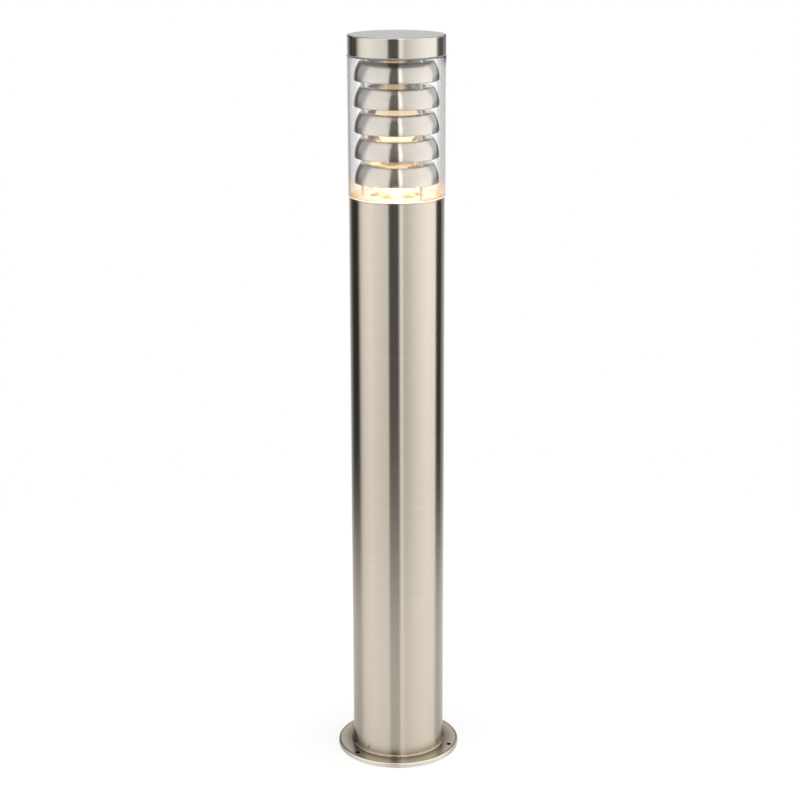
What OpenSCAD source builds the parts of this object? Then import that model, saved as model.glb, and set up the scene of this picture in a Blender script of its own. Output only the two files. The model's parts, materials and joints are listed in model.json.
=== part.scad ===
// Bollard light: a steel post on a round base plate, with a lift-off head of
// five louvres inside a clear cylinder, and a screw-in lamp on a bridge in the
// post. Millimetres, +Z up, origin at the centre of the base plate's underside.
// The front is -Y.

/* [Post] */
// Height of the whole light
total_h = 1000; // [700:5:1200]
// Outside diameter of the post
post_d = 127; // [120:1:140]
// Wall of the post
post_wall = 1.5; // [1:0.1:2]

/* [Base] */
// Diameter of the base plate
base_d = 170; // [165:1:220]
// Thickness of the base plate
base_t = 6; // [4:0.5:10]
// Diameter of the three fixing holes
fixing_hole_d = 7; // [5:0.5:8]
// Pitch circle of the fixing holes
fixing_pcd = 152; // [148:1:154]
// Diameter of the cable hole in the base plate
cable_hole_d = 40; // [30:1:50]

/* [Head] */
// Height of the cap
cap_h = 25; // [22:1:40]
// Clear height between the cap and the post's rim
window_h = 184; // [180:1:200]
// How far the clear cylinder stands proud of the post
diffuser_proud = 1.25; // [0.5:0.05:1.5]
// Wall of the clear cylinder
diffuser_wall = 3; // [2.5:0.1:3.2]

/* [Louvres] */
// Radius of a louvre's lower rim
louvre_r = 56; // [55:0.5:57]
// Height of one louvre
louvre_h = 25; // [22:0.5:25]
// Distance from one louvre to the next
louvre_pitch = 33.25; // [32:0.25:33.5]
// Drop from the cap to the first louvre's lower rim
first_drop = 33; // [30:0.5:34]

/* [Lamp] */
// Diameter of the bulb
bulb_d = 60; // [50:1:62]
// Height of the lamp with its cap
lamp_h = 108; // [104:1:112]

/* [Hidden] */
LOUVRES = 5;
RODS = 3;
LOUVRE_NAMES = [for (i = [1:LOUVRES]) str("louvre_", i)];
ROD_NAMES = [for (i = [1:RODS]) str("tie_rod_", i)];
SPACER_NAMES = [for (i = [1:LOUVRES + 1]) str("spacers_", i)];
$fn = 96;

// Finishes
steel = [0.74, 0.71, 0.66];
bright_steel = [0.82, 0.80, 0.77];
cast_grey = [0.66, 0.66, 0.67];
brass = [0.80, 0.65, 0.35];
silicone = [0.93, 0.92, 0.88];
black_rubber = [0.10, 0.10, 0.11];
porcelain = [0.95, 0.94, 0.91];
opal = [1.0, 0.94, 0.82];

// Post and base
eps = 1;
post_r = post_d / 2;
bore_r = post_r - post_wall;
base_edge_r = 2;
weld_leg = 2.5;
grommet_r = cable_hole_d / 2;
grommet_bore_r = grommet_r - 5;
grommet_lift = 0.5;
fixing_azimuths = [-49, 71, 191];

// Levels of the head. rim_z is the top of the carrier's flange.
cap_bottom_z = total_h - cap_h;
rim_z = cap_bottom_z - window_h;
flange_t = 2;
seat_gap = 0.2;
post_top_z = rim_z - flange_t - seat_gap;
gasket_t = 1;
plate_t = 1;
cap_r = post_r + 0.75;
cap_wall = 1.5;
cap_edge_r = 1.4;
diffuser_r = post_r + diffuser_proud;
diffuser_bore_r = diffuser_r - diffuser_wall;
register_h = 2.5;
register_r = diffuser_bore_r - 0.4;
cap_plate_t = 3;
boss_r = 5.5;
boss_h = 6;

// Tie rods and their sleeves
rod_azimuths = [-77, 43, 163];
rod_r = 1.5;
rod_pitch_r = louvre_r - 11;
sleeve_r = 2.5;
rod_hole_r = rod_r + 0.15;
rod_bottom_z = rim_z - 14.5;
rod_top_z = cap_bottom_z + cap_plate_t + 4;
washer_t = 0.8;
washer_r = 3.5;
rod_nut_h = 2.4;
rod_nut_across = 5.5;

// Louvres: an arc from the upright lower rim up to a flat inward flange
louvre_t = 1;
louvre_arc_r = 44;
louvre_bead_r = 1.1;
louvre_hole_r = 38;

// Head carrier and what hangs on it
carrier_hole_r = 36;
spigot_r = bore_r - 2.5;
spigot_wall = 4;
spigot_h = 27;
seal_r = 1.6;
seal_mid_r = bore_r - 0.3 - seal_r;
seal_z = rim_z - flange_t - 8;
groove_w = 3.6;
clip_azimuths = [103, 223, 343];
clip_w = 9;
clip_t = 0.6;
clip_bow = 1.3;
clip_rivet_r = 1.2;
clip_top_z = rim_z - 15;
clip_tab_h = 5;
clip_bow_h = 9;

// Lamp bridge
bridge_t = 2;
bridge_w = 30;
bridge_top_z = rim_z - 4;
bridge_half = 30;
bridge_foot_x = 57;
bridge_foot_z = rim_z - 41;
bridge_hole_x = 15;
lug_t = 3;
lug_w = 24;
lug_x = 44;
lug_screw_x = 50;
lug_h = 18;
weld_nut_h = 5;
m4_r = 2;
m4_head_r = 4;
m4_head_h = 2.6;
m4_nut_h = 3.2;
m4_nut_across = 7;

// Lampholder
holder_h = 48;
holder_base_r = 23;
holder_r = 20.5;
holder_bore_r = 14.3;
holder_floor = 16;
shell_r = 14.1;
shell_t = 0.4;
thread_depth = 0.35;
thread_pitch = 3.629;
holder_top_z = bridge_top_z + holder_h;
terminal_w = 7;
m3_r = 1.5;
holder_screw_y = 11;

// Lamp: lamp_z is its centre contact at rest
lamp_z = bridge_top_z + 22;
lamp_cap_h = 27;
lamp_cap_r = 13.25;
neck_r = 14.5;
neck_blend_r = 30;
glass_t = 1.2;
bulb_r = bulb_d / 2;
bulb_mid_z = lamp_z + lamp_h - bulb_r;
blend_x = neck_r + neck_blend_r;
blend_z = bulb_mid_z - sqrt(pow(bulb_r + neck_blend_r, 2) - pow(blend_x, 2));
neck_bottom_z = lamp_z + lamp_cap_h;

// Terminal block on the bridge's right leg, and the earth screw on its left one
block_x = bridge_half - bridge_t - 16;
block_size = [16, 28, 18];
block_z = bridge_foot_z + 7;
way_ys = [-9, 0, 9];
way_r = 1.5;
way_rib = 2;
lead_r = 1.1;
lead_sides = 8;
lead_steps = 3;
earth_z = bridge_foot_z + 13;
tag_x = -(bridge_half - bridge_t);
tag_barrel_r = 1.6;

// Leads, drawn through points chosen by hand around the block's top face. Each
// point is measured from the centre of the lampholder's seat on the bridge.
live_route = [[20, -9, -16], [20, -9, -10], [18, -7, -6], [15.5, -3, -4], [15, 0, 0], [15, 0, 2]];
neutral_route = [
    [20, 9, -16], [20, 9, -10], [14, 8, -6.5], [2, 4.5, -6], [-9, 2, -6], [-14, 0.5, -3],
    [-15, 0, 0], [-15, 0, 2]
];
earth_route = [
    [20, 0, -16], [20, 0, -10.5], [13, -1, -8.5], [2, -2, -10], [-9, -2, -10.5], [-20, -1, -8],
    [-25.5, 0, -10], [-26.4, 0, -14], [-26.4, 0, -18]
];

// Helpers

module ring(r_out, r_in, h) {
    difference() {
        cylinder(r = r_out, h = h);
        translate([0, 0, -eps]) cylinder(r = r_in, h = h + 2 * eps);
    }
}

// A place on a circle, with +X turned outwards. Azimuth 0 is the front.
module at_azimuth(azimuth, r = 0) {
    rotate([0, 0, azimuth - 90]) translate([r, 0, 0]) children();
}

module at_rods() {
    for (a = rod_azimuths) at_azimuth(a, rod_pitch_r) children();
}

module hex_nut(across, h, hole_r) {
    difference() {
        cylinder(r = across / 2 / cos(30), h = h, $fn = 6);
        translate([0, 0, -eps]) cylinder(r = hole_r, h = h + 2 * eps);
    }
}

// A pan-head screw standing on its head's underside, shank down
module pan_screw(head_r, head_h, shank_r, length) {
    difference() {
        rotate_extrude() {
            square([head_r, head_h * 0.55]);
            square([head_r * 0.72, head_h]);
            translate([head_r * 0.72, head_h * 0.55]) {
                intersection() {
                    circle(r = head_h * 0.45);
                    square(head_h);
                }
            }
        }
        cross_slot(head_r, head_h);
    }
    translate([0, 0, -length]) cylinder(r = shank_r, h = length + 0.1);
}

module cross_slot(head_r, head_h) {
    for (turn = [0, 90]) rotate([0, 0, turn]) {
        translate([-head_r * 0.55, -0.35, head_h * 0.55]) cube([head_r * 1.1, 0.7, head_h]);
    }
}

function unit(v) = v / norm(v);
function spline(a, b, c, d, t) =
    0.5 * (2 * b + (c - a) * t + (2 * a - 5 * b + 4 * c - d) * t * t
    + (3 * b - a - 3 * c + d) * t * t * t);
function route_point(p, i) = p[max(0, min(len(p) - 1, i))];
function smooth_route(p, steps) = concat(
    [
        for (i = [0:len(p) - 2], s = [0:steps - 1])
            spline(route_point(p, i - 1), p[i], p[i + 1], route_point(p, i + 2), s / steps)
    ],
    [p[len(p) - 1]]
);
function route_heading(p, i) = unit(route_point(p, i + 1) - route_point(p, i - 1));
function side_of(t) = unit([0, 1, 0] - t[1] * t);

// A lead of round section swept along a route
module lead(route) {
    path = smooth_route(route, lead_steps);
    rings = len(path);
    points = [
        for (i = [0:rings - 1], k = [0:lead_sides - 1])
            let (t = route_heading(path, i), u = side_of(t), v = cross(t, u), a = 360 * k / lead_sides)
            path[i] + lead_r * (cos(a) * u + sin(a) * v)
    ];
    walls = [
        for (i = [0:rings - 2], k = [0:lead_sides - 1])
            let (n = (k + 1) % lead_sides, low = i * lead_sides, high = low + lead_sides)
            [low + n, low + k, high + k, high + n]
    ];
    first = [for (k = [0:lead_sides - 1]) k];
    last = [for (k = [lead_sides - 1:-1:0]) (rings - 1) * lead_sides + k];
    translate([0, 0, bridge_top_z]) polyhedron(points, concat([first], walls, [last]));
}

// Points of a round-crested thread, drawn as plain rings, from z0 up to z1
function crests(r, z0, z1) = [
    for (z = [z0:thread_pitch / 6:z1])
        [r - thread_depth * (1 - cos(360 * (z - z0) / thread_pitch)) / 2, z]
];
function reversed(list) = [for (i = [len(list) - 1:-1:0]) list[i]];

// Post and base

module base_plate() {
    color(steel) difference() {
        rotate_extrude() {
            square([base_d / 2 - base_edge_r, base_t]);
            square([base_d / 2, base_t - base_edge_r]);
            translate([base_d / 2 - base_edge_r, base_t - base_edge_r]) {
                intersection() {
                    circle(r = base_edge_r);
                    square(base_edge_r);
                }
            }
        }
        translate([0, 0, -eps]) cylinder(r = grommet_r, h = base_t + 2 * eps);
        for (a = fixing_azimuths) at_azimuth(a, fixing_pcd / 2) {
            translate([0, 0, -eps]) cylinder(r = fixing_hole_d / 2, h = base_t + 2 * eps);
        }
    }
}

module base_weld() {
    color(bright_steel) rotate_extrude() {
        translate([post_r, base_t]) intersection() {
            circle(r = weld_leg);
            square(weld_leg);
        }
    }
}

module post_tube() {
    color(steel) translate([0, 0, base_t]) ring(post_r, bore_r, post_top_z - base_t);
}

module cable_grommet() {
    color(black_rubber) difference() {
        union() {
            translate([0, 0, grommet_lift]) cylinder(r = grommet_r, h = base_t - grommet_lift);
            translate([0, 0, base_t]) cylinder(r = grommet_r + 4, h = 2);
        }
        cylinder(r = grommet_bore_r, h = base_t + 2 + eps);
    }
}

// Bridge that carries the lampholder

module bridge_lugs() {
    color(steel) for (side = [0, 180]) rotate([0, 0, side]) difference() {
        union() {
            intersection() {
                translate([0, 0, bridge_foot_z - lug_h]) cylinder(r = bore_r, h = lug_h);
                union() {
                    translate([lug_x, -lug_w / 2, bridge_foot_z - lug_t]) cube([30, lug_w, lug_t]);
                    difference() {
                        translate([0, -lug_w / 2, bridge_foot_z - lug_h]) cube([70, lug_w, lug_h]);
                        translate([0, 0, bridge_foot_z - lug_h - eps]) {
                            cylinder(r = bore_r - 2.5, h = lug_h + 2 * eps);
                        }
                    }
                }
            }
            translate([lug_screw_x, 0, bridge_foot_z - lug_t - weld_nut_h]) {
                cylinder(r = 4.5, h = weld_nut_h + 0.1);
            }
        }
        translate([lug_screw_x, 0, bridge_foot_z - lug_h]) cylinder(r = m4_r + 0.05, h = lug_h + eps);
    }
}

module lamp_bridge() {
    color(bright_steel) difference() {
        union() {
            translate([-bridge_half, -bridge_w / 2, bridge_top_z - bridge_t]) {
                cube([2 * bridge_half, bridge_w, bridge_t]);
            }
            for (side = [0, 180]) rotate([0, 0, side]) {
                translate([bridge_half - bridge_t, -bridge_w / 2, bridge_foot_z]) {
                    cube([bridge_t, bridge_w, bridge_top_z - bridge_foot_z]);
                }
                translate([bridge_half - bridge_t, -bridge_w / 2, bridge_foot_z]) {
                    cube([bridge_foot_x - bridge_half + bridge_t, bridge_w, bridge_t]);
                }
            }
        }
        for (side = [-1, 1]) {
            translate([side * lug_screw_x, 0, bridge_foot_z - eps])
                cylinder(r = 2.25, h = bridge_t + 2 * eps);
            translate([side * bridge_hole_x, 0, bridge_top_z - bridge_t - eps]) {
                cylinder(r = 3, h = bridge_t + 2 * eps);
            }
            translate([0, side * holder_screw_y, bridge_top_z - bridge_t - eps]) {
                cylinder(r = m3_r + 0.15, h = bridge_t + 2 * eps);
            }
        }
        translate([tag_x + eps, 0, earth_z]) rotate([0, -90, 0])
            cylinder(r = m4_r + 0.1, h = bridge_t + 2 * eps);
        translate([bridge_half + eps, 4.5, block_z + 9]) {
            rotate([0, -90, 0]) cylinder(r = m3_r + 0.05, h = bridge_t + 2 * eps);
        }
    }
}

module bridge_screws() {
    color(bright_steel) for (side = [-1, 1]) {
        translate([side * lug_screw_x, 0, bridge_foot_z + bridge_t])
            pan_screw(m4_head_r, m4_head_h, m4_r, 11);
    }
}

// Lampholder

module holder_body() {
    waist_z = 12;
    color(porcelain) translate([0, 0, bridge_top_z]) difference() {
        rotate_extrude() difference() {
            union() {
                square([holder_r, holder_h - 1.5]);
                square([holder_r - 1.5, holder_h]);
                translate([holder_r - 1.5, holder_h - 1.5]) circle(r = 1.5);
                square([holder_base_r, waist_z]);
            }
            translate([0, holder_floor]) square([holder_bore_r, holder_h]);
            translate([holder_base_r, waist_z]) circle(r = holder_base_r - holder_r);
        }
        for (side = [-1, 1]) {
            translate([side * bridge_hole_x - 4, -4, -eps]) cube([8, 8, 10 + eps]);
            translate([0, side * holder_screw_y, -eps]) cylinder(r = m3_r + 0.05, h = 9 + eps);
        }
    }
}

module holder_shell() {
    shell_z = bridge_top_z + holder_floor + 2;
    shell_top = holder_top_z - 1.5;
    inside = [for (p = crests(shell_r - shell_t, shell_z, shell_top)) [p[0] + thread_depth / 2, p[1]]];
    color(brass) difference() {
        translate([0, 0, shell_z]) cylinder(r = shell_r, h = shell_top - shell_z);
        rotate_extrude() {
            polygon(concat([[0, shell_z - eps], [inside[0][0], shell_z - eps]], inside,
                [[inside[0][0], shell_top + eps], [0, shell_top + eps]]));
        }
    }
}

module holder_contact() {
    color(brass) translate([0, 3, bridge_top_z + holder_floor]) rotate([90, 0, 0]) {
        linear_extrude(height = 6) {
            polygon([[-9, 0], [9, 0], [9, 0.6], [3, 0.6], [2, 5.6], [-6, 4.6], [-6.2, 4], [1.5, 4.9],
                [2.3, 0.6], [-9, 0.6]]);
        }
    }
}

module holder_terminals() {
    color(brass) for (side = [-1, 1]) {
        translate([side * bridge_hole_x, 0, bridge_top_z + 2]) difference() {
            translate([-terminal_w / 2, -terminal_w / 2, 0]) cube([terminal_w, terminal_w, 7.5]);
            translate([0, 0, -eps]) cylinder(r = way_r, h = 5);
        }
    }
}

module holder_screws() {
    color(bright_steel) for (side = [-1, 1]) {
        translate([0, side * holder_screw_y, bridge_top_z - bridge_t]) {
            rotate([180, 0, 0]) pan_screw(2.8, 2, m3_r, 10);
        }
    }
}

// Wiring

module terminal_block() {
    color(porcelain) translate([block_x, -block_size[1] / 2, block_z]) difference() {
        union() {
            cube(block_size);
            for (y = way_ys) {
                translate([-way_rib, y + block_size[1] / 2 - 3.5, 2]) cube([4, 7, block_size[2] - 4]);
            }
        }
        for (y = way_ys) {
            translate([8, y + block_size[1] / 2, -eps]) cylinder(r = way_r, h = block_size[2] + 2 * eps);
            for (z = [5, 13]) translate([-3, y + block_size[1] / 2, z]) rotate([0, 90, 0])
                cylinder(r = 1.9, h = 10);
        }
        translate([-3, block_size[1] / 2 + 4.5, 9]) rotate([0, 90, 0]) cylinder(r = m3_r + 0.15, h = 25);
    }
}

module terminal_screws() {
    color(brass) for (y = way_ys, z = [5, 13]) translate([block_x - 1, y, block_z + z]) {
        rotate([0, 90, 0]) difference() {
            cylinder(r = 1.8, h = 7);
            translate([-2, -0.25, -eps]) cube([4, 0.5, 1 + eps]);
        }
    }
}

module block_screw() {
    color(bright_steel) translate([block_x - way_rib, 4.5, block_z + 9]) {
        rotate([0, -90, 0]) pan_screw(2.8, 1.6, m3_r, way_rib + block_size[0] + bridge_t + 4);
    }
}

module live_lead() {
    color("saddlebrown") lead(live_route);
}

module neutral_lead() {
    color("steelblue") lead(neutral_route);
}

module earth_lead() {
    color("yellowgreen") lead(earth_route);
}

module earth_screw() {
    color(bright_steel) translate([-bridge_half, 0, earth_z]) {
        rotate([0, -90, 0]) pan_screw(m4_head_r, m4_head_h, m4_r, 11);
    }
}

module earth_nut() {
    color(bright_steel) translate([tag_x + washer_t, 0, earth_z]) {
        rotate([0, 90, 0]) hex_nut(m4_nut_across, m4_nut_h, m4_r + 0.05);
    }
}

module earth_tag() {
    barrel_x = -26.4;
    color(brass) {
        translate([tag_x, 0, earth_z]) rotate([0, 90, 0]) ring(4.6, m4_r + 0.1, washer_t);
        difference() {
            union() {
                translate([tag_x, -1.5, earth_z + 4]) cube([washer_t, 3, 4]);
                translate([barrel_x, 0, earth_z + 5]) cylinder(r = tag_barrel_r, h = 7);
            }
            translate([barrel_x, 0, earth_z + 5.6]) cylinder(r = lead_r + 0.05, h = 7);
        }
    }
}

// Head

module head_carrier() {
    color(cast_grey) difference() {
        union() {
            translate([0, 0, rim_z - flange_t]) ring(post_r, carrier_hole_r, flange_t);
            translate([0, 0, rim_z - flange_t - spigot_h]) {
                ring(spigot_r, spigot_r - spigot_wall, spigot_h + 0.1);
            }
            translate([0, 0, rim_z - flange_t - 5]) ring(carrier_hole_r + 2, carrier_hole_r, 5.1);
            at_rods() translate([0, 0, rim_z - flange_t - 8]) cylinder(r = boss_r, h = 8.1);
        }
        translate([0, 0, seal_z - groove_w / 2])
            ring(spigot_r + eps, seal_mid_r - seal_r - 0.1, groove_w);
        at_rods() translate([0, 0, rim_z - flange_t - 10]) cylinder(r = rod_hole_r, h = 14);
        for (a = clip_azimuths) at_azimuth(a) {
            translate([spigot_r - spigot_wall - eps, 0, clip_top_z - clip_tab_h / 2]) {
                rotate([0, 90, 0]) cylinder(r = clip_rivet_r + 0.05, h = spigot_wall + 3);
            }
        }
    }
}

module spigot_seal() {
    color(black_rubber) translate([0, 0, seal_z]) rotate_extrude()
        translate([seal_mid_r, 0]) circle(r = seal_r);
}

// A leaf spring seen edge-on: a flat tab above, a bow below
module clip_edge() {
    bow = [for (a = [0:15:180]) [clip_bow * sin(a), -clip_tab_h - clip_bow_h * (1 - cos(a)) / 2]];
    polygon(concat([[0, 0]], bow, [for (p = reversed(bow)) [p[0] + clip_t, p[1]]], [[clip_t, 0]]));
}

module retaining_clips() {
    color(bright_steel) for (a = clip_azimuths) at_azimuth(a, spigot_r + 0.05) difference() {
        translate([0, clip_w / 2, clip_top_z]) rotate([90, 0, 0])
            linear_extrude(height = clip_w) clip_edge();
        translate([-eps, 0, clip_top_z - clip_tab_h / 2]) rotate([0, 90, 0])
            cylinder(r = clip_rivet_r + 0.05, h = 4);
    }
}

module clip_rivets() {
    color(cast_grey) for (a = clip_azimuths) at_azimuth(a, spigot_r + 0.05 + clip_t) {
        translate([0, 0, clip_top_z - clip_tab_h / 2]) rotate([0, 90, 0]) {
            cylinder(r = 2, h = 0.8);
            translate([0, 0, -spigot_wall - clip_t - 0.6]) {
                cylinder(r = clip_rivet_r, h = spigot_wall + clip_t + 0.7);
                cylinder(r = 2, h = 0.5);
            }
        }
    }
}

module rod_washers() {
    color(bright_steel) at_rods() translate([0, 0, rim_z - flange_t - 8 - washer_t])
        ring(washer_r, rod_hole_r, washer_t);
}

module rod_nuts() {
    color(bright_steel) at_rods() translate([0, 0, rim_z - flange_t - 8 - washer_t - rod_nut_h]) {
        hex_nut(rod_nut_across, rod_nut_h, rod_r + 0.05);
    }
}

module reflector_plate() {
    color(bright_steel) translate([0, 0, rim_z]) difference() {
        ring(register_r, carrier_hole_r, plate_t);
        at_rods() translate([0, 0, -eps]) cylinder(r = rod_hole_r, h = plate_t + 2 * eps);
    }
}

module bottom_gasket() {
    color(silicone) translate([0, 0, rim_z]) ring(diffuser_r - 0.25, diffuser_bore_r + 0.1, gasket_t);
}

module diffuser() {
    color([0.85, 0.9, 0.92, 0.3]) translate([0, 0, rim_z + gasket_t]) {
        ring(diffuser_r, diffuser_bore_r, window_h - 2 * gasket_t);
    }
}

module top_gasket() {
    color(silicone) translate([0, 0, cap_bottom_z - gasket_t])
        ring(cap_r - 0.25, diffuser_bore_r + 0.1, gasket_t);
}

module cap_plate() {
    color(cast_grey) translate([0, 0, cap_bottom_z]) difference() {
        union() {
            cylinder(r = cap_r - cap_wall - 0.1, h = cap_plate_t);
            translate([0, 0, -register_h]) cylinder(r = register_r, h = register_h + 0.1);
            at_rods() cylinder(r = boss_r, h = cap_plate_t + boss_h);
        }
        at_rods() translate([0, 0, -register_h - eps])
            cylinder(r = rod_r + 0.05, h = register_h + eps + cap_plate_t + 4.5);
    }
}

module top_cap() {
    inner_r = cap_r - cap_wall;
    color(steel) translate([0, 0, cap_bottom_z]) difference() {
        rotate_extrude() {
            square([cap_r - cap_edge_r, cap_h]);
            square([cap_r, cap_h - cap_edge_r]);
            translate([cap_r - cap_edge_r, cap_h - cap_edge_r]) {
                intersection() {
                    circle(r = cap_edge_r);
                    square(cap_edge_r);
                }
            }
        }
        translate([0, 0, -eps]) cylinder(r = inner_r, h = cap_h - cap_wall + eps);
    }
}

// Louvres are counted from the top
function louvre_z(i) = cap_bottom_z - first_drop - (i - 1) * louvre_pitch;

// Half section of a louvre's outside, drawn inset by t
module louvre_section(t) {
    intersection() {
        translate([louvre_hole_r - t, -t]) square([louvre_r - louvre_hole_r, louvre_h]);
        translate([louvre_r - louvre_arc_r, 0]) circle(r = louvre_arc_r - t);
    }
}

module louvre(i) {
    color(steel) translate([0, 0, louvre_z(i)]) difference() {
        rotate_extrude() {
            difference() {
                louvre_section(0);
                louvre_section(louvre_t);
            }
            translate([louvre_r - louvre_bead_r, louvre_bead_r]) circle(r = louvre_bead_r);
        }
        at_rods() translate([0, 0, louvre_h - 3]) cylinder(r = rod_hole_r, h = 4);
    }
}

module tie_rod(i) {
    color(bright_steel) at_azimuth(rod_azimuths[i - 1], rod_pitch_r) {
        translate([0, 0, rod_bottom_z]) cylinder(r = rod_r, h = rod_top_z - rod_bottom_z);
    }
}

// Level 1 is between the cap plate and the first louvre, the last one on the reflector plate
module spacers(level) {
    top = level == 1 ? cap_bottom_z - register_h : louvre_z(level - 1) + louvre_h - louvre_t;
    bottom = level > LOUVRES ? rim_z + plate_t : louvre_z(level) + louvre_h;
    color(bright_steel) at_rods() translate([0, 0, bottom]) ring(sleeve_r, rod_hole_r, top - bottom);
}

// Lamp

// Half section of the bulb's outside, drawn inset by t
module bulb_section(t) {
    intersection() {
        translate([0, neck_bottom_z]) square([bulb_d, lamp_h]);
        union() {
            translate([0, bulb_mid_z]) circle(r = bulb_r - t);
            translate([0, neck_bottom_z]) square([neck_r - t, blend_z - neck_bottom_z + 0.01]);
            difference() {
                translate([0, blend_z]) {
                    square([blend_x * bulb_r / (bulb_r + neck_blend_r), (bulb_mid_z - blend_z) / 2]);
                }
                translate([blend_x, blend_z]) circle(r = neck_blend_r + t);
            }
        }
    }
}

module lamp_bulb() {
    color(opal) rotate_extrude() difference() {
        bulb_section(0);
        bulb_section(glass_t);
    }
}

module lamp_cap() {
    cap_z = lamp_z + 4;
    thread_top = lamp_z + lamp_cap_h - 4;
    outside = crests(lamp_cap_r, cap_z, thread_top);
    color(cast_grey) difference() {
        rotate_extrude() {
            polygon(concat([[0, cap_z]], outside,
                [[lamp_cap_r - 0.3, thread_top]],
                [[lamp_cap_r - 0.3, neck_bottom_z], [0, neck_bottom_z]]));
        }
        translate([0, 0, cap_z + 0.4]) cylinder(r = lamp_cap_r - 1, h = lamp_cap_h);
        translate([0, 0, cap_z - eps]) cylinder(r = 9, h = lamp_cap_h);
    }
}

module lamp_insulator() {
    color(black_rubber) translate([0, 0, lamp_z + 1.4]) difference() {
        cylinder(r1 = 5, r2 = 9, h = 3);
        translate([0, 0, -eps]) cylinder(r = 1.5, h = 6);
    }
}

module lamp_contact() {
    color(bright_steel) translate([0, 0, lamp_z]) {
        cylinder(r = 4, h = 1.4);
        cylinder(r = 1.4, h = 4.4);
    }
}

module lamp_board() {
    color(porcelain) translate([0, 0, neck_bottom_z + 9]) {
        cylinder(r = neck_r - glass_t - 0.3, h = 1.5);
        for (a = [0:60:300]) rotate([0, 0, a]) translate([7, -1.5, 1.4]) cube([3, 3, 0.8]);
    }
}

module lamp_driver() {
    color(porcelain) translate([0, 0, lamp_z + 6])
        cylinder(r = lamp_cap_r - 2, h = neck_bottom_z - lamp_z + 3);
}

base_plate();
base_weld();
post_tube();
cable_grommet();
bridge_lugs();
lamp_bridge();
bridge_screws();
holder_body();
holder_shell();
holder_contact();
holder_terminals();
holder_screws();
terminal_block();
terminal_screws();
block_screw();
live_lead();
neutral_lead();
earth_lead();
earth_screw();
earth_nut();
earth_tag();
head_carrier();
spigot_seal();
retaining_clips();
clip_rivets();
rod_nuts();
rod_washers();
reflector_plate();
bottom_gasket();
diffuser();
top_gasket();
cap_plate();
top_cap();
for (i = [1:LOUVRES]) louvre(i);
for (i = [1:RODS]) tie_rod(i);
for (i = [1:LOUVRES + 1]) spacers(i);
lamp_bulb();
lamp_cap();
lamp_insulator();
lamp_contact();
lamp_board();
lamp_driver();
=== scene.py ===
import json
import math

import bmesh
import bpy
from mathutils import Euler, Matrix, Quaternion, Vector


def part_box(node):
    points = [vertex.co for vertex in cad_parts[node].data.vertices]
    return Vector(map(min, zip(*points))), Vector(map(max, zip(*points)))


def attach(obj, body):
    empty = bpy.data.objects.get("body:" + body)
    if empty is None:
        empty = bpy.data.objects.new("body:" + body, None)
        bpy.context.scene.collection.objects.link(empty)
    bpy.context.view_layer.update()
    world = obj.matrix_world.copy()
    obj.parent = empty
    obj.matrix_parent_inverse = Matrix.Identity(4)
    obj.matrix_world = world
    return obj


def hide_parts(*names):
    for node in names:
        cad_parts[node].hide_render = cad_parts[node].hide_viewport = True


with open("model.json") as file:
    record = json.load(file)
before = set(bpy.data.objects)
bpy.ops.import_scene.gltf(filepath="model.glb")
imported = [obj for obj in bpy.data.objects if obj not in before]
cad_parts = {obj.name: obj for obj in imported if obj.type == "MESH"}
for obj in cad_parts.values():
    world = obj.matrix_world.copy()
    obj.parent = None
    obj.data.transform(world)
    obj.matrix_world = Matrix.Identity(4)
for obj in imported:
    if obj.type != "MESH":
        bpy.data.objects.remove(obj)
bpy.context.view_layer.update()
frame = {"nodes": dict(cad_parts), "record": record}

MM = 0.001
SCENE = bpy.context.scene

# ---------------------------------------------------------------- measures


def radius(node):
    """Outer radius of a round node, in metres."""
    low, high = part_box(node)
    return (high.x - low.x) / 2


def floor_of(node):
    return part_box(node)[0].z


def top_of(node):
    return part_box(node)[1].z


def round_place(azimuth, r):
    """A place on a circle round the upright axis; azimuth 0 is the front."""
    a = math.radians(azimuth - 90)
    return (r * math.cos(a), r * math.sin(a))


# ---------------------------------------------------------------- camera

CAMERA_HEIGHT = 1.2154
CAMERA_DISTANCE = 2.4236
CAMERA_OFFSET = 0.0035
CAMERA_PITCH = 16.245
CAMERA_ROLL = -0.125
LENS_MM = 83.43
SENSOR_MM = 36


def make_camera():
    data = bpy.data.cameras.new("camera")
    data.lens = LENS_MM
    data.sensor_width = SENSOR_MM
    camera = bpy.data.objects.new("camera", data)
    SCENE.collection.objects.link(camera)
    camera.location = (CAMERA_OFFSET, -CAMERA_DISTANCE, CAMERA_HEIGHT)
    camera.rotation_mode = "QUATERNION"
    aim = Euler((math.radians(90 - CAMERA_PITCH), 0, 0)).to_quaternion()
    camera.rotation_quaternion = aim @ Quaternion((0, 0, 1), math.radians(CAMERA_ROLL))
    SCENE.camera = camera


# ---------------------------------------------------------------- shapes

SHARP_ANGLE = math.radians(35)
MERGE_GAP = 1e-7
HOLD = 0.4  # distance from an arc to the point that holds it, in corner radii
STEPS = 256  # facets round a large turned piece
DRILL_SIDES = 48


def rounded(corners, segments=4):
    """Outline through (x, z, corner radius); each corner is an arc, held by a point at each end."""
    outline = []
    count = len(corners)
    for i, (x, z, r) in enumerate(corners):
        here = Vector((x, z))
        if r == 0:
            outline.append(here)
            continue
        before = (Vector(corners[i - 1][:2]) - here).normalized()
        after = (Vector(corners[(i + 1) % count][:2]) - here).normalized()
        half = before.angle(after) / 2
        reach = r / math.tan(half)
        centre = here + (before + after).normalized() * r / math.sin(half)
        start = here + before * reach - centre
        end = here + after * reach - centre
        turn = start.angle_signed(end)
        outline.append(here + before * (reach + HOLD * r))
        for s in range(segments + 1):
            a = -turn * s / segments
            spoke = Vector((
                start.x * math.cos(a) - start.y * math.sin(a),
                start.x * math.sin(a) + start.y * math.cos(a),
            ))
            outline.append(centre + spoke)
        outline.append(here + after * (reach + HOLD * r))
    return outline


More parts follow.
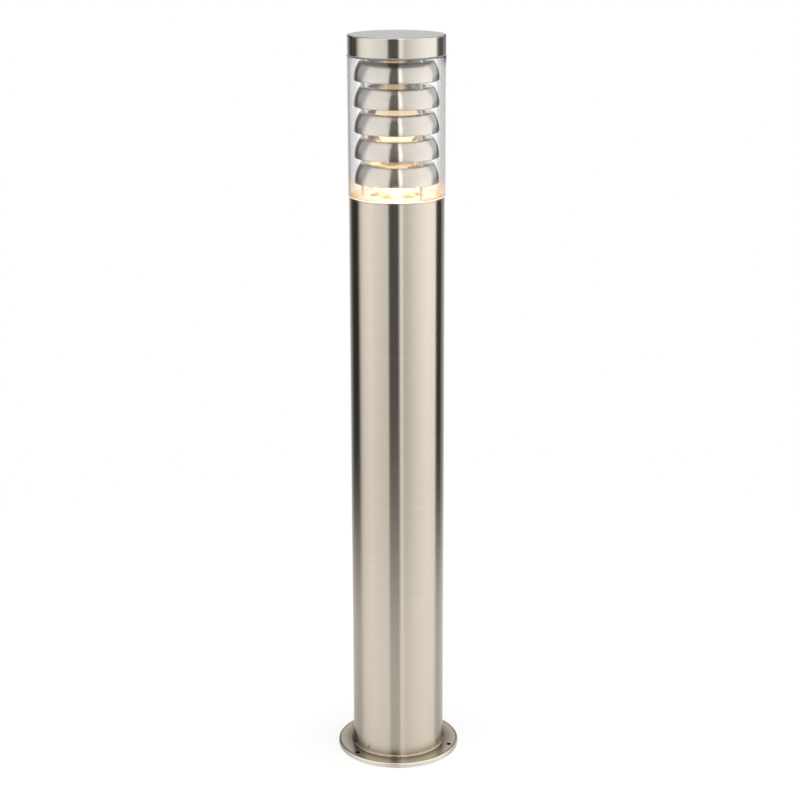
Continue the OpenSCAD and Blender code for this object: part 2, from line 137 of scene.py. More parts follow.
def arc(centre, r, start, end, segments):
    """Points of an arc in the x-z plane, angles in degrees from +x."""
    points = []
    for i in range(segments + 1):
        a = math.radians(start + (end - start) * i / segments)
        points.append(Vector((centre[0] + r * math.cos(a), centre[1] + r * math.sin(a))))
    return points


def tube_outline(r_out, r_in, z0, z1, edge):
    return rounded([(r_in, z0, edge), (r_out, z0, edge), (r_out, z1, edge), (r_in, z1, edge)])


def link(name, bm):
    bmesh.ops.recalc_face_normals(bm, faces=bm.faces[:])
    for face in bm.faces:
        face.smooth = True
    mesh = bpy.data.meshes.new(name)
    bm.to_mesh(mesh)
    bm.free()
    mesh.set_sharp_from_angle(angle=SHARP_ANGLE)
    piece = bpy.data.objects.new(name, mesh)
    SCENE.collection.objects.link(piece)
    return piece


def spin_outline(bm, outline, steps, centre, closed):
    """Turns an outline of (radius, height) points round an upright axis."""
    verts = [bm.verts.new((centre[0] + p[0], centre[1], p[1])) for p in outline]
    pairs = list(zip(verts, verts[1:] + verts[:1]))
    if not closed:
        pairs = pairs[:-1]
    edges = [bm.edges.new(pair) for pair in pairs]
    bmesh.ops.spin(
        bm, geom=verts + edges, cent=(centre[0], centre[1], 0), axis=(0, 0, 1),
        angle=math.tau, steps=steps, use_merge=True,
    )
    bmesh.ops.remove_doubles(bm, verts=bm.verts[:], dist=MERGE_GAP)
    bmesh.ops.dissolve_degenerate(bm, edges=bm.edges[:], dist=MERGE_GAP)


def lathe(name, outline, steps=STEPS, closed=True, centres=((0, 0),)):
    """A turned piece, or a set of equal turned pieces standing on several centres."""
    bm = bmesh.new()
    for centre in centres:
        spin_outline(bm, outline, steps, centre, closed)
    return link(name, bm)


def drill(piece, centres, r, z0, z1):
    """Drills upright holes through a piece."""
    bm = bmesh.new()
    for x, y in centres:
        made = bmesh.ops.create_cone(
            bm, cap_ends=True, segments=DRILL_SIDES, radius1=r, radius2=r, depth=z1 - z0,
        )
        bmesh.ops.translate(bm, verts=made["verts"], vec=(x, y, (z0 + z1) / 2))
    cutter = link("cutter", bm)
    cut = piece.modifiers.new("drill", "BOOLEAN")
    cut.operation = "DIFFERENCE"
    cut.object = cutter
    shaped = piece.evaluated_get(bpy.context.evaluated_depsgraph_get())
    mesh = bpy.data.meshes.new_from_object(shaped)
    piece.modifiers.clear()
    piece.data = mesh
    mesh.set_sharp_from_angle(angle=SHARP_ANGLE)
    bpy.data.objects.remove(cutter)


def put(piece, body, slot, material, *nodes):
    """Gives a piece its material and its body and hides the CAD nodes it stands for; the slot is
    not used.
    """
    piece.data.materials.clear()
    piece.data.materials.append(material)
    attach(piece, body)
    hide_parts(*nodes)


# ---------------------------------------------------------------- shader nodes


def blank(name):
    material = bpy.data.materials.new(name)
    material.use_nodes = True
    return material, material.node_tree, material.node_tree.nodes["Principled BSDF"]


def wire(tree, value, socket):
    """Links an output to a socket, or sets the socket to a plain value."""
    if isinstance(value, bpy.types.NodeSocket):
        tree.links.new(value, socket)
    else:
        socket.default_value = value


def dress(tree, node, **sockets):
    """Fills a node's input sockets; an underscore stands for a space in a socket's name."""
    for name, value in sockets.items():
        wire(tree, value, node.inputs[name.replace("_", " ")])


def shade(tree, kind, **sockets):
    """A new shader node with some of its input sockets filled."""
    made = tree.nodes.new("ShaderNode" + kind)
    dress(tree, made, **sockets)
    return made


def maths(tree, operation, *values):
    made = tree.nodes.new("ShaderNodeMath")
    made.operation = operation
    for socket, value in zip(made.inputs, values):
        wire(tree, value, socket)
    return made.outputs[0]


def spread(tree, value, low, high, start=0.3, end=0.7):
    """Carries a value from start..end over to low..high, and holds it there beyond both ends."""
    ramp = shade(
        tree, "MapRange", Value=value, From_Min=start, From_Max=end, To_Min=low, To_Max=high,
    )
    return ramp.outputs["Result"]


def blend_colours(tree, factor, first, second):
    mix = tree.nodes.new("ShaderNodeMix")
    mix.data_type = "RGBA"
    # Of a mix node's sockets, 6 and 7 are the two colours and output 2 is the mixed colour.
    for i, value in ((0, factor), (6, first), (7, second)):
        wire(tree, value, mix.inputs[i])
    return mix.outputs[2]


def tinted(tree, value, dark, light, start=0.3, end=0.7):
    """Goes from one colour to another as a value rises."""
    return blend_colours(tree, spread(tree, value, 0, 1, start, end), (*dark, 1), (*light, 1))


def axes(tree, kind="Object"):
    """X, Y and Z of a point on the piece, or, in a world, of the direction that is looked in."""
    place = tree.nodes.new("ShaderNodeTexCoord")
    split = shade(tree, "SeparateXYZ", Vector=place.outputs[kind])
    return tuple(split.outputs)


def off_axis(tree, x, y):
    """Distance from the upright axis."""
    squares = [maths(tree, "MULTIPLY", side, side) for side in (x, y)]
    return maths(tree, "SQRT", maths(tree, "ADD", *squares))


def noise(tree, stretch, detail=4.0):
    """Noise on object coordinates, with the given number of grains a metre along X, Y and Z."""
    place = tree.nodes.new("ShaderNodeTexCoord")
    mapping = shade(tree, "Mapping", Vector=place.outputs["Object"], Scale=stretch)
    grain = shade(
        tree, "TexNoise", Vector=mapping.outputs["Vector"], Scale=1.0, Detail=detail,
        Roughness=0.55,
    )
    return grain.outputs["Fac"]


def relief(tree, shader, height, strength, depth):
    bump = shade(tree, "Bump", Height=height, Strength=strength, Distance=depth)
    tree.links.new(bump.outputs["Normal"], shader.inputs["Normal"])


# ---------------------------------------------------------------- materials

LAMP_COLOUR = (1.0, 0.79, 0.52, 1)
ALUMINIUM = ((0.6, 0.6, 0.61), (0.72, 0.72, 0.73))
LINE_DEPTH = 0.02 * MM
SATIN_DEPTH = 0.03 * MM
GRAIN_DEPTH = 0.05 * MM

# Radii and heights, in metres, between which a finish, a painted shade, a painted highlight or a
# painted glow changes
CAP_RIM_SHADE = (0.0615, 0.0635)
BASE_HOLES = (0.0715, 0.0805)
BASE_HOLE_TOP = 0.0057
BASE_POST_SHADE = (0.067, 0.079)
BASE_CREASE_SHADE_R = 0.0818
BASE_HIGHLIGHT_R = 0.0830
CARRIER_FLANGE_R = 0.0625
CYLINDER_PAINTED_GLOW = (0.800, 0.817)
BULB_SHINE = (0.85, 0.915)


def brushed_steel(name, dark, light, rough=(0.16, 0.20)):
    """Stainless steel whose brush lines run round its axis, so highlights stretch along it."""
    material, tree, shader = blank(name)
    lines = noise(tree, (9, 9, 2600), detail=3.0)
    clouds = noise(tree, (14, 14, 5), detail=5.0)
    wear = maths(tree, "MULTIPLY_ADD", clouds, 0.35, spread(tree, lines, 0.15, 0.55))
    tangent = tree.nodes.new("ShaderNodeTangent")
    tangent.direction_type = "RADIAL"
    tangent.axis = "Z"
    dress(
        tree, shader,
        Base_Color=tinted(tree, lines, dark, light),
        Roughness=spread(tree, wear, *rough, 0.2, 0.8),
        Metallic=1.0,
        Anisotropic=1.0,
        Anisotropic_Rotation=0.25,
        Tangent=tangent.outputs["Tangent"],
    )
    relief(tree, shader, lines, 0.05, LINE_DEPTH)
    return material


def satin_steel(name):
    """The cap's top face: a fine even satin with faint wipe marks, and painted shade darkening its
    rim.
    """
    material, tree, shader = blank(name)
    wipes = noise(tree, (30, 140, 30), detail=5.0)
    x, y, _ = axes(tree)
    # Painted shade: the outer rim of the top face is darkened towards a dark grey.
    rim = spread(tree, off_axis(tree, x, y), 0.0, 1.0, *CAP_RIM_SHADE)
    face = tinted(tree, wipes, (0.50, 0.505, 0.48), (0.55, 0.555, 0.53))
    dress(
        tree, shader,
        Base_Color=blend_colours(tree, rim, face, (0.30, 0.295, 0.27, 1)),
        Roughness=spread(tree, wipes, 0.26, 0.32),
        Metallic=1.0,
    )
    relief(tree, shader, noise(tree, (900, 900, 900)), 0.05, LINE_DEPTH)
    return material


def turned_steel(name, dark, light):
    """The base plate: fine lines run round it, a painted shade and dark reflection of the post
    ring its middle, its edge has a painted crease shade and a painted highlight, and painted shade
    fills its fixing holes."""
    material, tree, shader = blank(name)
    x, y, z = axes(tree)
    from_axis = off_axis(tree, x, y)
    turned = shade(tree, "CombineXYZ", X=from_axis, Y=maths(tree, "MULTIPLY", x, 0.01), Z=z)
    rings = shade(
        tree, "TexNoise", Vector=turned.outputs[0], Scale=1500.0, Detail=3.0, Roughness=0.6,
    ).outputs["Fac"]
    # Painted shade and reflection: a warm dark ring round the post's foot stands for the post's
    # shadow and its dark mirror image on the plate.
    painted_post_shade = spread(tree, from_axis, 1.0, 0.0, *BASE_POST_SHADE)
    # Painted highlight: the rounded outer edge is painted bright.
    edge = maths(tree, "GREATER_THAN", from_axis, BASE_HIGHLIGHT_R)
    # Painted shade: a dark ring where the plate's top turns into its rounded edge.
    painted_crease_shade = maths(tree, "SUBTRACT", maths(tree, "GREATER_THAN", from_axis, BASE_CREASE_SHADE_R), edge)
    # Painted shade: the walls of the fixing holes, below the plate's top, are painted nearly black.
    hole_ring = maths(
        tree, "MULTIPLY",
        maths(tree, "GREATER_THAN", from_axis, BASE_HOLES[0]),
        maths(tree, "LESS_THAN", from_axis, BASE_HOLES[1]),
    )
    painted_hole_shade = maths(tree, "MULTIPLY", hole_ring, maths(tree, "LESS_THAN", z, BASE_HOLE_TOP))
    colour = tinted(tree, rings, dark, light, 0.35, 0.65)
    # Laid on in turn: the painted post shade, a darker tone for the whole plate, the painted crease
    # shade, the painted edge highlight and the painted hole shade.
    for factor, tone_and_painted_light in (
        (painted_post_shade, (0.25, 0.205, 0.14, 1)),
        (0.35, (0.30, 0.255, 0.185, 1)),
        (maths(tree, "MULTIPLY", painted_crease_shade, 0.75), (0.10, 0.09, 0.07, 1)),
        (edge, (0.86, 0.80, 0.70, 1)),
        (painted_hole_shade, (0.01, 0.01, 0.01, 1)),
    ):
        colour = blend_colours(tree, factor, colour, tone_and_painted_light)
    roughness = spread(tree, rings, 0.27, 0.36)
    dress(tree, shader, Base_Color=colour, Roughness=roughness, Metallic=1.0)
    relief(tree, shader, rings, 0.15, LINE_DEPTH)
    return material


def carrier_metal(name):
    """Cast aluminium, with its flange polished to the post's colour."""
    material, tree, shader = blank(name)
    x, y, _ = axes(tree)
    flange = maths(tree, "GREATER_THAN", off_axis(tree, x, y), CARRIER_FLANGE_R)
    grain = noise(tree, (300, 300, 300))
    casting = tinted(tree, grain, *ALUMINIUM)
    polish = maths(tree, "MULTIPLY", flange, 0.2)
    dress(
        tree, shader,
        Base_Color=blend_colours(tree, flange, casting, (0.70, 0.63, 0.53, 1)),
        Roughness=maths(tree, "SUBTRACT", spread(tree, grain, 0.35, 0.5), polish),
        Metallic=1.0,
    )
    return material


def grained(tree, shader, grain, dark, light, rough):
    """Lets colour and roughness follow one noise."""
    dress(
        tree, shader,
        Base_Color=tinted(tree, grain, dark, light),
        Roughness=spread(tree, grain, *rough),
    )


def plain_metal(name, dark, light, rough, grains=(300, 300, 300), strength=0.15):
    material, tree, shader = blank(name)
    grain = noise(tree, grains)
    grained(tree, shader, grain, dark, light, rough)
    relief(tree, shader, grain, strength, GRAIN_DEPTH)
    dress(tree, shader, Metallic=1.0)
    return material


def plain_solid(name, dark, light, rough, grains=(250, 250, 250), coat=0.0):
    material, tree, shader = blank(name)
    grain = noise(tree, grains)
    grained(tree, shader, grain, dark, light, rough)
    relief(tree, shader, grain, 0.1, GRAIN_DEPTH)
    dress(tree, shader, Coat_Weight=coat)
    return material


def zinc_plate(name):
    """Bright zinc with a milky passivated face."""
    material, tree, shader = blank(name)
    grain = noise(tree, (45, 45, 45), detail=6.0)
    grained(tree, shader, grain, (0.66, 0.65, 0.62), (0.78, 0.77, 0.74), (0.35, 0.5))
    dress(tree, shader, Metallic=0.35)
    return material


def satin_reflector(name):
    """Bright anodised sheet with a milky satin face."""
    material, tree, shader = blank(name)
    grain = noise(tree, (60, 60, 60))
    grained(tree, shader, grain, (0.84, 0.81, 0.76), (0.90, 0.87, 0.82), (0.35, 0.45))
    relief(tree, shader, noise(tree, (700, 700, 700)), 0.06, SATIN_DEPTH)
    dress(tree, shader, Metallic=0.35)
    return material


def clear_plastic(name):
    """Clear polycarbonate with faint extrusion lines, and a painted warm glow at its foot that
    stands for the lamp's light.
    """
    material, tree, shader = blank(name)
    draw_lines = noise(tree, (160, 160, 2), detail=2.0)
    # Painted glow: towards its foot the cylinder turns warmer and gives off a faint light of its
    # own.
    foot = spread(tree, axes(tree)[2], 1.0, 0.0, *CYLINDER_PAINTED_GLOW)
    dress(
        tree, shader,
        Base_Color=blend_colours(tree, foot, (0.995, 0.995, 0.99, 1), (1.0, 0.92, 0.85, 1)),
        Roughness=spread(tree, draw_lines, 0.0, 0.03),
        Emission_Color=(1.0, 0.66, 0.42, 1),
        Emission_Strength=maths(tree, "MULTIPLY", foot, 0.06),
        Transmission_Weight=1.0,
        IOR=1.58,
    )
    relief(tree, shader, draw_lines, 0.03, GRAIN_DEPTH)
    return material


def frosted_silicone(name):
    material, tree, shader = blank(name)
    grain = noise(tree, (400, 400, 400))
    dress(
        tree, shader,
        Base_Color=(0.93, 0.90, 0.82, 1),
        Roughness=spread(tree, grain, 0.4, 0.55),
        Subsurface_Weight=0.5,
        Subsurface_Radius=(0.004, 0.003, 0.002),
        Transmission_Weight=0.35,
    )
    return material


def silicone_painted_glow(name):
    """The ring under the clear cylinder has a painted glow that stands for the lamp's light carried
    to its edge.
    """
    material, tree, shader = blank(name)
    grain = noise(tree, (400, 400, 400))
    grained(tree, shader, grain, (0.88, 0.84, 0.74), (0.94, 0.90, 0.80), (0.4, 0.55))
    dress(tree, shader, Emission_Color=(1.0, 0.92, 0.74, 1), Emission_Strength=0.9)
    return material


def opal_glass(name):
    """Lit opal glass, brighter low down than at its crown."""
    material, tree, shader = blank(name)
    grain = noise(tree, (90, 90, 90), detail=2.0)
    dress(
        tree, shader,
        Base_Color=(0.28, 0.265, 0.235, 1),
        Roughness=spread(tree, grain, 0.25, 0.4),
        Emission_Color=LAMP_COLOUR,
        Emission_Strength=spread(tree, axes(tree)[2], 1.25, 0.72, *BULB_SHINE),
    )
    return material


def make_materials():
    steel = ((0.68, 0.61, 0.51), (0.73, 0.66, 0.555))
    return {
        "post": brushed_steel("post_steel", *steel),
        "cap": brushed_steel("cap_steel", (0.69, 0.64, 0.56), (0.74, 0.69, 0.61)),
        "cap_top": satin_steel("cap_top_steel"),
        "base": turned_steel("base_steel", *steel),
        "louvre": brushed_steel(
            "louvre_steel", (0.71, 0.655, 0.59), (0.76, 0.70, 0.64), (0.14, 0.18),
        ),
        "weld": plain_metal(
            "weld_bead", (0.44, 0.38, 0.30), (0.60, 0.54, 0.45), (0.22, 0.34),
            grains=(120, 120, 120), strength=0.08,
        ),
        "rod": plain_metal(
            "rod_steel", (0.62, 0.6, 0.57), (0.72, 0.7, 0.67), (0.15, 0.3),
            grains=(900, 900, 60),
        ),
        "bracket": zinc_plate("bracket_steel"),
        "fastener": plain_metal(
            "fastener_steel", (0.55, 0.55, 0.55), (0.65, 0.65, 0.65), (0.2, 0.35),
        ),
        "casting": plain_metal("cast_aluminium", *ALUMINIUM, (0.35, 0.5), strength=0.3),
        "carrier": carrier_metal("carrier_aluminium"),
        # The cap plate: a darker copy of the cast aluminium, painted shade for the gap under the
        # cap.
        "cap_plate": plain_metal(
            "casting_painted_shade", (0.16, 0.155, 0.15), (0.24, 0.235, 0.23), (0.4, 0.55),
            strength=0.3,
        ),
        "reflector": satin_reflector("reflector_mirror"),
        "clear": clear_plastic("clear_cylinder"),
        "silicone": frosted_silicone("silicone"),
        "silicone_painted_glow": silicone_painted_glow("silicone_painted_glow"),
        "rubber": plain_solid(
            "black_rubber", (0.02, 0.02, 0.021), (0.045, 0.045, 0.047), (0.6, 0.8),
        ),
        "porcelain": plain_solid(
            "porcelain", (0.58, 0.55, 0.48), (0.66, 0.63, 0.56), (0.12, 0.2), coat=0.4,
        ),
        "brass": plain_metal(
            "brass_parts", (0.62, 0.44, 0.18), (0.78, 0.6, 0.3), (0.22, 0.38),
        ),
        "nylon": plain_solid(
            "block_nylon", (0.78, 0.77, 0.72), (0.86, 0.85, 0.81), (0.4, 0.55),
        ),
        "live": plain_solid(
            "live_sleeve", (0.16, 0.06, 0.025), (0.24, 0.1, 0.05), (0.45, 0.6),
        ),
        "neutral": plain_solid(
            "neutral_sleeve", (0.02, 0.10, 0.36), (0.05, 0.17, 0.48), (0.45, 0.6),
        ),
        "earth": plain_solid(
            "earth_sleeve", (0.10, 0.42, 0.03), (0.75, 0.68, 0.05), (0.45, 0.6),
            grains=(90, 90, 90),
        ),
        "opal": opal_glass("lamp_glass"),
        "lamp_metal": plain_metal(
            "lamp_metal", (0.62, 0.62, 0.61), (0.75, 0.75, 0.74), (0.18, 0.3),
        ),
        "vitrite": plain_solid(
            "lamp_insulator", (0.012, 0.012, 0.013), (0.03, 0.03, 0.03), (0.1, 0.2),
        ),
        "lamp_plastic": plain_solid(
            "lamp_plastic", (0.78, 0.78, 0.76), (0.86, 0.86, 0.84), (0.35, 0.5),
        ),
    }


SLOT_FINISH = {
    "post_steel": "post", "cap_steel": "cap", "louvre_steel": "louvre", "weld_bead": "weld",
    "rod_steel": "rod", "bracket_steel": "bracket", "fastener_steel": "fastener",
    "cast_aluminium": "casting", "reflector_mirror": "reflector", "clear_cylinder": "clear",
    "silicone": "silicone", "black_rubber": "rubber", "porcelain": "porcelain",
    "brass_parts": "brass", "block_nylon": "nylon", "live_sleeve": "live",
    "neutral_sleeve": "neutral", "earth_sleeve": "earth", "lamp_glass": "opal",
    "lamp_metal": "lamp_metal", "lamp_insulator": "vitrite", "lamp_plastic": "lamp_plastic",
}
# The cap plate takes the darker copy of the casting, painted shade.
NODE_FINISH = {"head_carrier": "carrier", "cap_plate": "cap_plate"}


def finish_cad_nodes(finishes):
    """Gives every CAD node a finish of its own or the one of its slot."""
    for part in frame["record"]["subparts"]:
        shown = frame["nodes"][part["node"]]
        shown.data.materials.clear()
        finish = NODE_FINISH.get(part["node"], SLOT_FINISH[part["material_slot"]])
        shown.data.materials.append(finishes[finish])


# ---------------------------------------------------------------- post and base

EDGE = 0.3 * MM
SHEET_EDGE = 0.2 * MM
TUBE_WALL = 1.5 * MM
BASE_EDGE = 2 * MM
GROMMET_LIP = 4 * MM
FIXING_AZIMUTHS = (-49, 71, 191)
FIXING_PITCH_R = 76 * MM
FIXING_HOLE_R = 3.5 * MM
WELD_OVERLAP = 0.2 * MM


def make_post(finishes):
    r = radius("post_tube")
    outline = tube_outline(r, r - TUBE_WALL, floor_of("post_tube"), top_of("post_tube"), EDGE)
    put(lathe("post", outline), "post", "post_steel", finishes["post"], "post_tube")


def make_base(finishes):
    r = radius("base_plate")
    z = top_of("base_plate")
    hole_r = radius("cable_grommet") - GROMMET_LIP
    corners = [(hole_r, 0, EDGE), (r, 0, EDGE), (r, z, BASE_EDGE), (hole_r, z, EDGE)]
    plate = lathe("base", rounded(corners, 6))
    centres = [round_place(a, FIXING_PITCH_R) for a in FIXING_AZIMUTHS]
    drill(plate, centres, FIXING_HOLE_R, -2 * MM, z + 2 * MM)
    put(plate, "post", "post_steel", finishes["base"], "base_plate")


def make_weld(finishes):
    post_r = radius("post_tube")
    z = floor_of("base_weld")
    leg = radius("base_weld") - post_r
    bead = arc((post_r, z), leg, 0, 90, 6)
    back = post_r - WELD_OVERLAP
    weld = lathe("weld", [Vector((back, z))] + bead + [Vector((back, z + leg))])
    put(weld, "post", "weld_bead", finishes["weld"], "base_weld")


# ---------------------------------------------------------------- head

CAP_WALL = 1.5 * MM
CAP_EDGE = 1.4 * MM
FACING_UP = 0.9
ROD_AZIMUTHS = (-77, 43, 163)
ROD_PITCH_R = 45 * MM
ROD_CENTRES = [round_place(a, ROD_PITCH_R) for a in ROD_AZIMUTHS]
ROD_HOLE_R = 1.65 * MM
SLEEVE_R = 2.5 * MM
SLEEVE_EDGE = 0.15 * MM
LOUVRE_R = 56 * MM
LOUVRE_H = 25 * MM
LOUVRE_ARC_R = 44 * MM
LOUVRE_BEAD_R = 1.1 * MM
LOUVRE_HOLE_R = 38 * MM
LOUVRE_T = 1 * MM
LOUVRE_SHOULDER = 0.6 * MM
LOUVRE_DRILLED = (22 * MM, 27 * MM)  # heights above its foot between which its holes are cut
DIFFUSER_WALL = 3 * MM
GASKET_WIDTH = 2.9 * MM
REFLECTOR_HOLE_R = 36 * MM


def make_cap(finishes):
    r = radius("top_cap")
    z0, z1 = floor_of("top_cap"), top_of("top_cap")
    outline = rounded([
        (0, z1, 0), (r, z1, CAP_EDGE), (r, z0, EDGE), (r - CAP_WALL, z0, EDGE),
        (r - CAP_WALL, z1 - CAP_WALL, EDGE), (0, z1 - CAP_WALL, 0),
    ], 6)
    cap = lathe("cap", outline, closed=False)
    put(cap, "head", "cap_steel", finishes["cap"], "top_cap")
    cap.data.materials.append(finishes["cap_top"])
    for face in cap.data.polygons:
        if face.normal.z > FACING_UP and face.center.z > z1 - CAP_EDGE / 2:
            face.material_index = 1


def louvre_outline(z):
    """Half section: rolled lower rim, one long arc, flat flange turned inwards."""
    middle = (LOUVRE_R - LOUVRE_ARC_R, z)
    inside_r = LOUVRE_ARC_R - LOUVRE_T
    top = z + LOUVRE_H

    def angle(height, r):
        return math.degrees(math.asin(height / r))

    low = angle(LOUVRE_BEAD_R, LOUVRE_ARC_R)
    high = angle(LOUVRE_H - LOUVRE_SHOULDER, LOUVRE_ARC_R)
    inside_low = angle(2 * LOUVRE_BEAD_R, inside_r)
    inside_high = angle(LOUVRE_H - LOUVRE_T, inside_r)
    rim = arc((LOUVRE_R - LOUVRE_BEAD_R, z + LOUVRE_BEAD_R), LOUVRE_BEAD_R, 90, 360, 16)
    outside = arc(middle, LOUVRE_ARC_R, low, high, 20)
    shoulder = [outside[-1] + Vector(step) * MM for step in ((-0.35, 0.42), (-0.9, 0.6))]
    flange = [Vector((LOUVRE_HOLE_R, top)), Vector((LOUVRE_HOLE_R, top - LOUVRE_T))]
    inside = arc(middle, inside_r, inside_high, inside_low, 20)
    return rim + outside[1:] + shoulder + flange + inside


def make_louvres(finishes):
    for i in range(1, 6):
        node = f"louvre_{i}"
        z = floor_of(node)
        ring = lathe(f"louvre_ring_{i}", louvre_outline(z))
        drill(ring, ROD_CENTRES, ROD_HOLE_R, *(z + height for height in LOUVRE_DRILLED))
        put(ring, "head", "louvre_steel", finishes["louvre"], node)


def make_spacers(finishes):
    for i in range(1, 7):
        node = f"spacers_{i}"
        outline = tube_outline(SLEEVE_R, ROD_HOLE_R, floor_of(node), top_of(node), SLEEVE_EDGE)
        sleeves = lathe(f"sleeves_{i}", outline, steps=32, centres=ROD_CENTRES)
        put(sleeves, "head", "rod_steel", finishes["rod"], node)


def make_diffuser(finishes):
    r = radius("diffuser")
    outline = tube_outline(r, r - DIFFUSER_WALL, floor_of("diffuser"), top_of("diffuser"), EDGE)
    cylinder = lathe("clear_cylinder", outline)
    put(cylinder, "head", "clear_cylinder", finishes["clear"], "diffuser")


def make_gaskets(finishes):
    inner_r = radius("diffuser") - GASKET_WIDTH
    # The bottom gasket takes the silicone with the painted glow.
    for node, finish in (("bottom_gasket", "silicone_painted_glow"), ("top_gasket", "silicone")):
        outline = tube_outline(radius(node), inner_r, floor_of(node), top_of(node), SHEET_EDGE)
        ring = lathe(f"{node}_ring", outline, steps=192)
        put(ring, "head", "silicone", finishes[finish], node)


def make_reflector(finishes):
    z0, z1 = floor_of("reflector_plate"), top_of("reflector_plate")
    outline = tube_outline(radius("reflector_plate"), REFLECTOR_HOLE_R, z0, z1, SHEET_EDGE)
    plate = lathe("reflector", outline, steps=192)
    drill(plate, ROD_CENTRES, ROD_HOLE_R, z0 - MM, z1 + MM)
    put(plate, "head", "reflector_mirror", finishes["reflector"], "reflector_plate")


# ---------------------------------------------------------------- lamp

BULB_R = 30 * MM
BULB_NECK_R = 14.5 * MM
BULB_BLEND_R = 30 * MM
BULB_GLASS = 1.2 * MM


def make_bulb(finishes):
    """A ball that runs into its neck by one hollow curve, open at the bottom."""
    bottom = floor_of("lamp_bulb")
    middle = top_of("lamp_bulb") - BULB_R
    side = BULB_NECK_R + BULB_BLEND_R
    span = BULB_R + BULB_BLEND_R
    drop = math.sqrt(span ** 2 - side ** 2)
    tilt = math.degrees(math.asin(drop / span))
    hollow = (side, middle - drop)
    outline = [Vector((BULB_NECK_R, bottom))]
    outline += arc(hollow, BULB_BLEND_R, 180, 180 - tilt, 10)
    outline += arc((0, middle), BULB_R, -tilt, 90, 30)[1:]
    outline += arc((0, middle), BULB_R - BULB_GLASS, 90, -tilt, 30)
    outline += arc(hollow, BULB_BLEND_R + BULB_GLASS, 180 - tilt, 180, 10)[1:]
    outline += [Vector((BULB_NECK_R - BULB_GLASS, bottom)), Vector((BULB_NECK_R, bottom))]
    bulb = lathe("bulb", outline, steps=96, closed=False)
    put(bulb, "lamp", "lamp_glass", finishes["opal"], "lamp_bulb")


# ---------------------------------------------------------------- studio

FLOOR_SOLID_R = 0.45
FLOOR_FADE_R = 1.3
FLOOR_R = FLOOR_FADE_R + 0.2
FLOOR_THIN = 0.5
FLOOR_DROP = 0.5 * MM


def make_floor():
    """A pale sweep that fades out into the background."""
    bm = bmesh.new()
    bmesh.ops.create_circle(bm, cap_ends=True, segments=96, radius=FLOOR_R)
    bmesh.ops.translate(bm, verts=bm.verts[:], vec=(0, 0, -FLOOR_DROP))
    ground = link("floor", bm)
    material, tree, shader = blank("floor_paper")
    grain = noise(tree, (220, 220, 220))
    dress(
        tree, shader,
        Base_Color=tinted(tree, grain, (0.86, 0.86, 0.855), (0.90, 0.90, 0.895)),
        Roughness=0.9,
        Specular_IOR_Level=0.1,
    )
    place = tree.nodes.new("ShaderNodeTexCoord")
    length = tree.nodes.new("ShaderNodeVectorMath")
    length.operation = "LENGTH"
    tree.links.new(place.outputs["Object"], length.inputs[0])
    fade = spread(
        tree, length.outputs["Value"], FLOOR_THIN, 1.0, FLOOR_SOLID_R, FLOOR_FADE_R,
    )
    fade.node.interpolation_type = "SMOOTHSTEP"
    clear = tree.nodes.new("ShaderNodeBsdfTransparent")
    mix = tree.nodes.new("ShaderNodeMixShader")
    for i, value in enumerate((fade, shader.outputs[0], clear.outputs[0])):
        tree.links.new(value, mix.inputs[i])
    tree.links.new(mix.outputs[0], tree.nodes["Material Output"].inputs["Surface"])
    ground.data.materials.append(material)


# Light of the studio by direction: (azimuth from the front in degrees, brightness)
LOW_BAND = (
    (-180, 1.02), (-167, 0.98), (-160, 0.62), (-149, 0.38), (-141, 0.17), (-134, 0.06),
    (-126, 0.02), (-109, 0.02), (-98, 0.86), (-90, 1.06), (-70, 1.22), (-40, 1.00),
    (-23, 0.92), (-18, 0.07), (2, 0.08), (5, 0.33), (8, 1.10), (13, 1.02), (16, 0.74),
    (24, 0.78), (48, 1.14), (76, 1.38), (104, 1.34), (111, 0.06), (117, 0.02), (131, 0.02),
    (137, 0.26), (144, 0.40), (151, 0.5), (160, 0.85), (180, 1.02),
)
TOP_BAND = tuple((azimuth, 0.88 * level) for azimuth, level in LOW_BAND if azimuth < 120)
TOP_BAND += ((160, 0.02), (168, 0.4), (174, 0.9), (180, 1.02))
HIGH_BAND = (
    (-180, 0.82), (-173, 0.76), (-167, 0.02), (-132, 0.02), (-127, 0.36), (-106, 0.38),
    (-97, 0.55), (-88, 1.00), (-23, 0.96), (-17, 0.16), (3, 0.15), (7, 1.55), (14, 1.5),
    (18, 0.84), (26, 0.86), (48, 0.96), (80, 1.12), (108, 1.18), (121, 0.56), (149, 0.52),
    (155, 0.02), (168, 0.02), (174, 0.76), (180, 0.82),
)
# How steeply a direction rises where the next light starts to show and where it has taken over
TOP_RISE = (-0.106, -0.100)
HIGH_RISE = (-0.04, 0.06)
ZENITH_RISE = (0.80, 0.97)
ZENITH = (1.2, 1.2, 1.2, 1)
# Towards the floor the light falls off, from the second strength to the first
DUSK_RISE = (-0.45, -0.15)
DUSK = (0.47, 1.05)


def light_ramp(tree, turn, stops):
    ramp = shade(tree, "ValToRGB", Fac=turn)
    points = ramp.color_ramp.elements
    while len(points) > 1:
        points.remove(points[-1])
    for i, (azimuth, level) in enumerate(stops):
        where = (azimuth + 180) / 360
        point = points[0] if i == 0 else points.new(where)
        point.position = where
        point.color = (level, level, level, 1)
    return ramp.outputs["Color"]


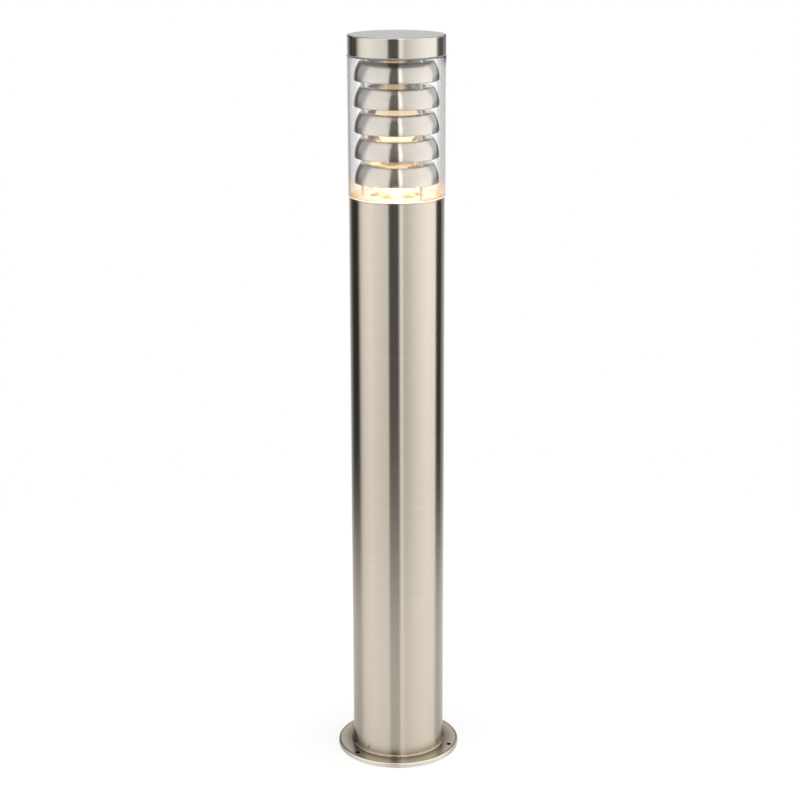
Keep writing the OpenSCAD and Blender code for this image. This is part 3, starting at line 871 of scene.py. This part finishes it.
def make_studio():
    """Tall soft boxes with a narrow gap between them, dark flags at the sides, a white backdrop."""
    world = bpy.data.worlds.new("studio")
    SCENE.world = world
    world.use_nodes = True
    tree = world.node_tree
    tree.nodes.clear()
    x, y, z = axes(tree, "Generated")
    azimuth = maths(tree, "ARCTAN2", x, maths(tree, "MULTIPLY", y, -1))
    turn = maths(tree, "ADD", maths(tree, "DIVIDE", azimuth, math.tau), 0.5)
    sky = light_ramp(tree, turn, LOW_BAND)
    for rise, layer in (
        (TOP_RISE, light_ramp(tree, turn, TOP_BAND)),
        (HIGH_RISE, light_ramp(tree, turn, HIGH_BAND)),
        (ZENITH_RISE, ZENITH),
    ):
        sky = blend_colours(tree, spread(tree, z, 0.0, 1.0, *rise), sky, layer)
    dusk = spread(tree, z, *DUSK, *DUSK_RISE)
    light = shade(tree, "Background", Color=sky, Strength=dusk)
    white = shade(tree, "Background", Color=(1, 1, 1, 1))
    path = tree.nodes.new("ShaderNodeLightPath")
    mix = tree.nodes.new("ShaderNodeMixShader")
    out = tree.nodes.new("ShaderNodeOutputWorld")
    for i, value in enumerate((path.outputs["Is Camera Ray"], light.outputs[0], white.outputs[0])):
        tree.links.new(value, mix.inputs[i])
    tree.links.new(mix.outputs[0], out.inputs["Surface"])


def add_light(name, kind, location, energy):
    data = bpy.data.lights.new(name, kind)
    data.energy = energy
    light = bpy.data.objects.new(name, data)
    light.location = location
    light.visible_glossy = False
    SCENE.collection.objects.link(light)
    return light


def make_overhead():
    """A large soft light high above, for the floor."""
    light = add_light("overhead", "AREA", (0.0, 0.0, 4.0), 90)
    light.data.shape = "DISK"
    light.data.size = 3.0


# The lamp's own light: (azimuths, radius and height of a ring of small lights, energy of each)
GLOW_RINGS = (
    ((0,), 31 * MM, 807 * MM, 0.09),
    ((60, 120, 180, 240, 300), 31 * MM, 809 * MM, 0.045),
    ((90, 150, 210, 270), 41 * MM, 777 * MM, 0.14),
)
GLOW_COLOUR = (1.0, 0.74, 0.48)
GLOW_SIZE = 6 * MM


def make_glow():
    """The lamp's own light on its holder, on the plate round it and inside the carrier."""
    for azimuths, r, z, energy in GLOW_RINGS:
        for azimuth in azimuths:
            light = add_light("glow", "POINT", (*round_place(azimuth, r), z), energy)
            light.data.shadow_soft_size = GLOW_SIZE
            light.data.color = GLOW_COLOUR
            light.visible_camera = False


# ---------------------------------------------------------------- all together

make_camera()
SCENE.view_settings.view_transform = "Standard"
make_studio()
make_overhead()
make_glow()
make_floor()
finishes = make_materials()
finish_cad_nodes(finishes)
make_post(finishes)
make_base(finishes)
make_weld(finishes)
make_cap(finishes)
make_louvres(finishes)
make_spacers(finishes)
make_diffuser(finishes)
make_gaskets(finishes)
make_reflector(finishes)
make_bulb(finishes)
